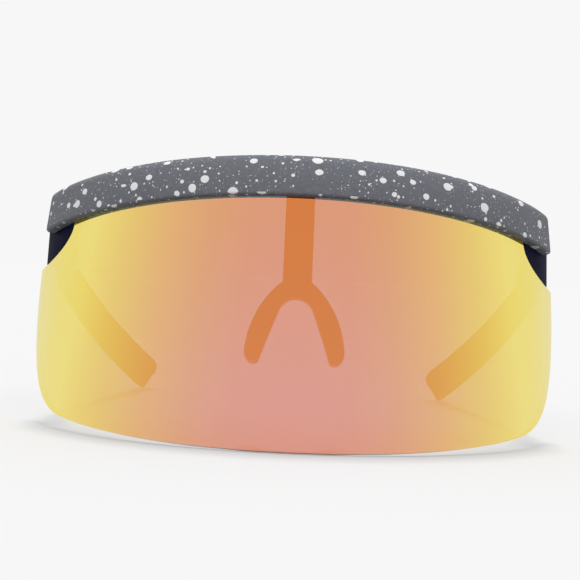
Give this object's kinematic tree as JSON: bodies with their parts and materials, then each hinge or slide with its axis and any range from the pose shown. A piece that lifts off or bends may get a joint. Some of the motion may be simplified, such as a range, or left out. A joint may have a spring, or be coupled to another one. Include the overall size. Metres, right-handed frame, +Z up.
{
  "type": "shield sunglasses",
  "caption": "One-piece wrapped shield lens under a bent brow bar, with a wishbone nose bridge and folding temples that rest on the ears to shade the eyes.",
  "frame": {"origin": "bottom centre of the box round the sunglasses standing open on the lens edge and the temple tips", "axes": "+X to the right seen from the front, +Y from the lens towards the temple tips, +Z up"},
  "size_m": [0.157, 0.193, 0.0803],
  "materials": {
    "bar_paint": "matte grey paint with white splatter",
    "lens_mirror": "orange-gold mirror coating on a tinted lens",
    "bridge_nylon": "moulded dark nylon",
    "pad_silicone": "soft matte silicone",
    "temple_nylon": "moulded dark navy nylon, satin gloss",
    "hinge_steel": "stamped steel",
    "screw_steel": "turned steel"
  },
  "bodies": {
    "front": {"brow_bar": "bar_paint", "shield_lens": "lens_mirror", "nose_bridge": "bridge_nylon", "nose_bridge_screws": "screw_steel", "left_nose_pad": "pad_silicone", "left_end_piece": "temple_nylon", "left_front_hinge_leaf": "hinge_steel", "left_front_leaf_rivets": "screw_steel", "left_hinge_screw": "screw_steel", "right_nose_pad": "pad_silicone", "right_end_piece": "temple_nylon", "right_front_hinge_leaf": "hinge_steel", "right_front_leaf_rivets": "screw_steel", "right_hinge_screw": "screw_steel"},
    "left_temple": {"left_temple": "temple_nylon", "left_temple_hinge_leaf": "hinge_steel", "left_temple_leaf_rivets": "screw_steel"},
    "right_temple": {"right_temple": "temple_nylon", "right_temple_hinge_leaf": "hinge_steel", "right_temple_leaf_rivets": "screw_steel"}
  },
  "joints": [
    {"name": "left_temple_fold", "type": "hinge", "parent": "front", "child": "left_temple", "pos_m": [-0.0682, -0.02969, 0.04832], "axis": [0, -0.2729, -0.962], "range_deg": [0, 88]},
    {"name": "right_temple_fold", "type": "hinge", "parent": "front", "child": "right_temple", "pos_m": [0.0682, -0.02969, 0.04832], "axis": [0, 0.2729, 0.962], "range_deg": [0, 80]}
  ]
}
